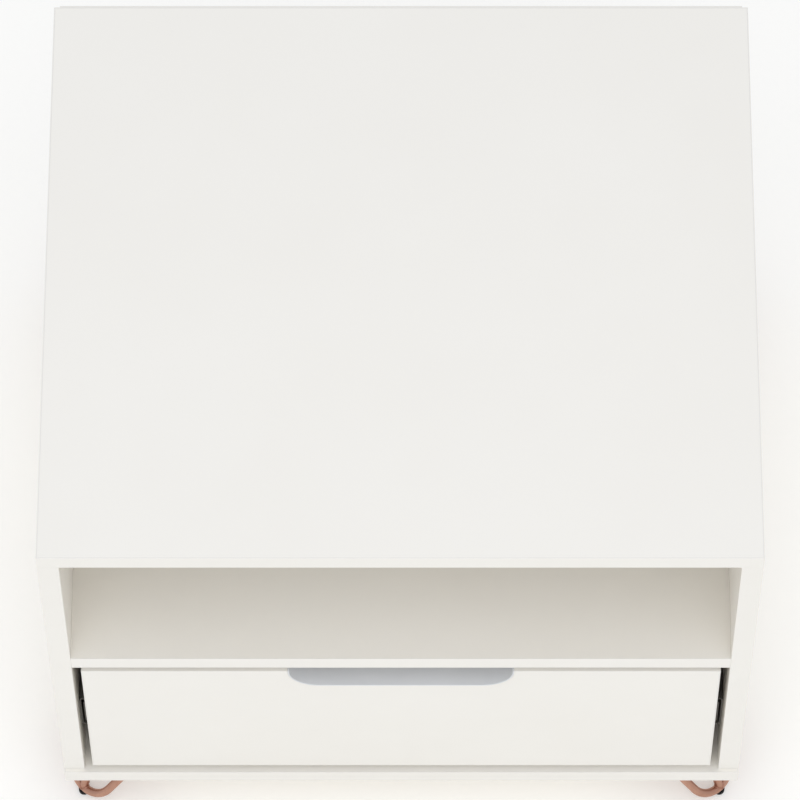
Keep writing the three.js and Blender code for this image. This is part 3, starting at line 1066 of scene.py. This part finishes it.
BEND_LOW = Vector((BEND_INSET, BEND_INSET, BEND_LIFT))
ACROSS = Vector((1, -1, 0)).normalized()
HAIRPIN_UP = Vector((
    math.sin(HAIRPIN_LEAN) * math.sqrt(0.5),
    math.sin(HAIRPIN_LEAN) * math.sqrt(0.5),
    math.cos(HAIRPIN_LEAN),
))
BRACE_UP = Vector((
    math.sin(BRACE_LEAN) * math.sqrt(0.5),
    math.sin(BRACE_LEAN) * math.sqrt(0.5),
    math.cos(BRACE_LEAN),
))
BEND_ANGLE = math.pi / 2 - ARM_SPLAY


def hairpin_point(run):
    """A point on the hairpin's centre line, at that run from the lowest point of its bend."""
    half_bend = BEND_RADIUS * BEND_ANGLE
    angle = min(abs(run), half_bend) / BEND_RADIUS
    arm = max(abs(run) - half_bend, 0)
    across = BEND_RADIUS * math.sin(angle) + arm * math.sin(ARM_SPLAY)
    up = BEND_RADIUS * (1 - math.cos(angle)) + arm * math.cos(ARM_SPLAY)
    return BEND_LOW + up * HAIRPIN_UP + math.copysign(across, run) * ACROSS


def hairpin_runs():
    """Where the hairpin's rings lie: close together in the bend and far apart in the arms."""
    half_bend = BEND_RADIUS * BEND_ANGLE
    rise = (PLATE_Z - BEND_LIFT) / HAIRPIN_UP.z
    arm = (rise - BEND_RADIUS * (1 - math.cos(BEND_ANGLE))) / math.cos(ARM_SPLAY)
    bend = [half_bend * (2 * i / BEND_STEPS - 1) for i in range(BEND_STEPS + 1)]
    arms = [half_bend + arm * part for part in (0.35, 0.7, 1.0)]
    return [-run for run in reversed(arms)] + bend + arms


def to_plate(ring, towards):
    """A ring of points slid along a direction until each lies at the plate's underside."""
    return [point + towards * ((PLATE_Z - point.z) / towards.z) for point in ring]


def hairpin_rings(radius):
    """The rings of the hairpin rod, cut flush at the plate."""
    points = [hairpin_point(run) for run in hairpin_runs()]
    normal = HAIRPIN_UP.cross(ACROSS)
    rings = tube_rings(points, [radius] * len(points), normal, ROD_SIDES, False)
    rings[0] = to_plate(rings[0], points[0] - points[1])
    rings[-1] = to_plate(rings[-1], points[-1] - points[-2])
    return rings


def saddle_ring(centre_line):
    """Where the brace rod's surface meets the hairpin's."""
    u = BRACE_UP.cross(ACROSS).normalized()
    ring = []
    for i in range(ROD_SIDES):
        angle = 2 * math.pi * i / ROD_SIDES
        start = BEND_LOW + ROD_RADIUS * (math.cos(angle) * ACROSS + math.sin(angle) * u)
        inside, outside = 0.0, 14.0
        for _ in range(24):
            height = (inside + outside) / 2
            point = start + BRACE_UP * height
            gap = min((point - other).length for other in centre_line)
            if gap < ROD_RADIUS:
                inside = height
            else:
                outside = height
        ring.append(start + BRACE_UP * outside)
    return ring


def bead(ring, radius, normal, ripples):
    """A rippled weld bead along a closed ring of points."""
    count = len(ring)
    radii = [
        radius * (1 + 0.14 * math.sin(ripples * 2 * math.pi * i / count + 0.7 * math.sin(i)))
        for i in range(count)
    ]
    return tube(ring, radii, normal, 14, closed=True)


GLIDE_PROFILE = (
    (0, 0), (2.9, 0), (3.5, 0.12), (3.85, 0.45), (4.0, 0.9),
    (4.0, 4.6), (3.85, 4.9), (3.6, 5.0), (0, 5.0),
)


def foot_meshes():
    """One foot's rods, welds and glide, in the corner's own frame."""
    rings = hairpin_rings(ROD_RADIUS)
    half_bend = BEND_RADIUS * BEND_ANGLE
    centre_line = [hairpin_point(half_bend * i / 150) for i in range(-150, 151)]
    saddle = saddle_ring(centre_line)
    brace_top = to_plate(saddle, BRACE_UP)
    up = Vector((0, 0, 1))
    welds = [bead(saddle, WELD_RADIUS, BRACE_UP, 9)]
    for ring in (rings[0], rings[-1], brace_top):
        lowered = [point - up * 0.25 for point in ring]
        welds.append(bead(lowered, WELD_RADIUS, up, 11))
    glide = moved(turned(GLIDE_PROFILE, 48), Matrix.Translation((BEND_INSET, BEND_INSET, 0)))
    glide = boolean(glide, [skin(hairpin_rings(ROD_RADIUS + GLIDE_CLEARANCE))])
    return {
        "hairpin_rod": (skin(rings), COPPER, "copper_steel", "hairpin"),
        "brace_rod": (skin([saddle, brace_top]), COPPER, "copper_steel", "brace"),
        "glide": (glide, BLACK, "black_rubber", "glide_pad"),
        "": (joined(welds), COPPER_WELD, "copper_steel", "weld_beads"),
    }


def make_feet():
    """The four feet."""
    for corner in CORNERS:
        for node, (mesh, material, slot, name) in foot_meshes().items():
            stands_for = [f"{corner}_{node}"] if node else []
            moved(mesh, to_corner(corner))
            piece(f"{corner}_{name}", mesh, (material,), "carcass", stands_for, smooth=60)
        node = f"{corner}_foot_plate"
        plate = round_edges(from_node(node), PLATE_ROUND, 3, sharper_than=60, finish=1)
        finishes = (COPPER, COPPER_EDGE)
        piece(f"{corner}_mounting_plate", plate, finishes, "carcass", [node])
        for i in (1, 2, 3):
            node = f"{corner}_foot_screw_{i}"
            low, high = box_mm(node)
            middle = (low + high) / 2
            mesh = screw(PLATE_SCREW, PLATE_RECESS)
            moved(mesh, facing_down(middle.x, middle.y, PLATE_Z))
            piece(f"{corner}_plate_screw_{i}", mesh, (ZINC,), "carcass", [node])


# ---------------------------------------------------------------- studio


FLOOR_GLOW = 0.22
FLOOR_COLOUR = (0.86, 0.84, 0.795)
WORLD_COLOUR = (0.772, 0.798, 0.850)
SOFTBOX_RISE = math.radians(60)
SOFTBOX_DISTANCE = 3.2
SOFTBOX_SIZE = 2.4
SOFTBOX_POWER = 20
SOFTBOX_COLOUR = (0.96, 0.975, 1.0)
FLOOR_REACH = 12
GLOW_COLOUR = (1.0, 0.995, 0.98)
CAMERA_LENS = 256.194
CAMERA_SHIFT = -0.02155
CAMERA_PLACE = (0.0117, -1.90263, 3.94412)
CAMERA_TILT = math.radians(27.129)


def make_floor():
    """A plain pale floor that is partly lit from within, as a studio's light table is."""
    mesh = bmesh.new()
    bmesh.ops.create_grid(mesh, x_segments=1, y_segments=1, size=FLOOR_REACH)
    data = bpy.data.meshes.new("floor")
    mesh.to_mesh(data)
    mesh.free()
    floor = bpy.data.objects.new("floor", data)
    bpy.context.scene.collection.objects.link(floor)
    pale = bpy.data.materials.new("pale_floor")
    pale.use_nodes = True
    shader = pale.node_tree.nodes["Principled BSDF"]
    shader.inputs["Base Color"].default_value = (*FLOOR_COLOUR, 1)
    shader.inputs["Roughness"].default_value = 1.0
    shader.inputs["Specular IOR Level"].default_value = 0.0
    shader.inputs["Emission Color"].default_value = (*GLOW_COLOUR, 1)
    shader.inputs["Emission Strength"].default_value = FLOOR_GLOW
    data.materials.append(pale)


def make_light():
    """Even pale light from all round, as in a light tent."""
    world = bpy.data.worlds.new("light_tent")
    world.use_nodes = True
    background = world.node_tree.nodes["Background"]
    background.inputs["Color"].default_value = (*WORLD_COLOUR, 1)
    bpy.context.scene.world = world
    bpy.context.scene.view_settings.view_transform = "Standard"


def make_softbox():
    """A large soft light, high in front of the cabinet."""
    lamp = bpy.data.lights.new("softbox", "AREA")
    lamp.shape = "SQUARE"
    lamp.size = SOFTBOX_SIZE
    lamp.energy = SOFTBOX_POWER
    lamp.color = SOFTBOX_COLOUR
    softbox = bpy.data.objects.new("softbox", lamp)
    outwards = Vector((0, -math.cos(SOFTBOX_RISE), math.sin(SOFTBOX_RISE)))
    softbox.location = outwards * SOFTBOX_DISTANCE
    softbox.rotation_euler = outwards.to_track_quat("Z", "Y").to_euler()
    softbox.visible_camera = False
    bpy.context.scene.collection.objects.link(softbox)


def make_camera():
    """The photograph's camera: a long lens, high in front of the cabinet."""
    lens = bpy.data.cameras.new("camera")
    lens.lens = CAMERA_LENS
    lens.shift_x = CAMERA_SHIFT
    lens.clip_end = 60
    camera = bpy.data.objects.new("camera", lens)
    camera.location = CAMERA_PLACE
    camera.rotation_euler = (CAMERA_TILT, 0, 0)
    bpy.context.scene.collection.objects.link(camera)
    bpy.context.scene.camera = camera


make_camera()
make_light()
make_softbox()
make_floor()
make_boards()
make_back()
make_bottom_screws()
make_cams()
make_shelf_caps()
make_drawer_front()
make_drawer_box()
make_rails()
make_cages()
make_slide_screws()
make_slide_stops()
make_feet()
